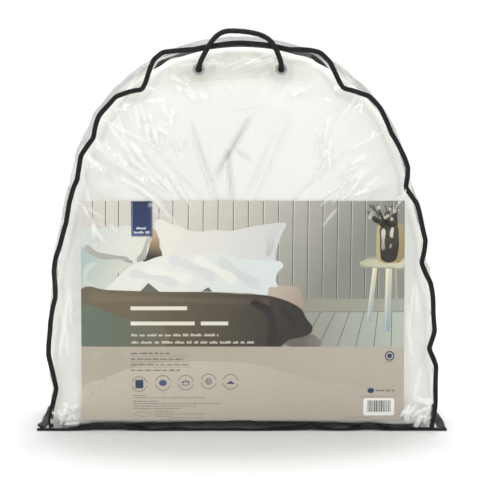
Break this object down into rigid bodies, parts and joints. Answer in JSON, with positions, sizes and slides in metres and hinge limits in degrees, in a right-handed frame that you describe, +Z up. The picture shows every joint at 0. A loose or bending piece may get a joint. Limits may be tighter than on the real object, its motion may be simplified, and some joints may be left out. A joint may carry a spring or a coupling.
{
  "type": "bed pillow",
  "caption": "U-shaped support pillow folded into a clear zipped arch-shaped carry bag with black binding, a rope handle and a printed insert card.",
  "frame": {"origin": "middle of the footprint, on the surface that the bag stands on", "axes": "+X to the right seen from the front, front faces -Y, +Z up"},
  "size_m": [0.541, 0.2119, 0.5286],
  "materials": {
    "clear_film": "gloss",
    "black_binding": "matte",
    "nickel_eyelet": "polished",
    "black_rope": "matte",
    "zip_tape": "matte",
    "zip_coil": "satin",
    "zip_metal": "satin",
    "printed_card": "satin",
    "label_paper": "satin",
    "white_cotton": "matte",
    "fibre_fill": "matte",
    "satin_label": "satin"
  },
  "bodies": {
    "bag": {"front_panel": "clear_film", "back_panel_upper": "clear_film", "back_panel_lower": "clear_film", "gusset": "clear_film", "base_panel": "clear_film", "handle_patch": "clear_film", "front_binding": "black_binding", "back_binding": "black_binding", "base_binding_front": "black_binding", "base_binding_back": "black_binding", "base_binding_left": "black_binding", "base_binding_right": "black_binding", "eyelet_left": "nickel_eyelet", "eyelet_right": "nickel_eyelet", "eyelet_washer_left": "nickel_eyelet", "eyelet_washer_right": "nickel_eyelet", "rope_end_left": "black_rope", "rope_end_right": "black_rope", "rope_knot_left": "black_rope", "rope_knot_right": "black_rope", "zip_tape_upper": "zip_tape", "zip_tape_lower": "zip_tape", "zip_coil_upper": "zip_coil", "zip_coil_lower": "zip_coil", "zip_stop_closed": "zip_metal", "zip_stop_open": "zip_metal", "insert_card": "printed_card", "barcode_label": "label_paper", "pillow_casing": "white_cotton", "pillow_fill": "fibre_fill", "care_label": "satin_label"},
    "handle": {"handle_rope": "black_rope"},
    "slider": {"zip_slider": "zip_metal"},
    "pull": {"zip_pull": "zip_metal"}
  },
  "joints": [
    {"name": "handle_swing", "type": "hinge", "parent": "bag", "child": "handle", "pos_m": [0, -0.103, 0.4755], "axis": [1, 0, 0], "range_deg": [0, 160]},
    {"name": "zip_slide", "type": "slide", "parent": "bag", "child": "slider", "axis": [1, 0, 0], "range_m": [-0.464, 0]},
    {"name": "pull_swing", "type": "hinge", "parent": "slider", "child": "pull", "pos_m": [0.232, 0.1002, 0.095], "axis": [0, 0, -1], "range_deg": [0, 175]}
  ]
}
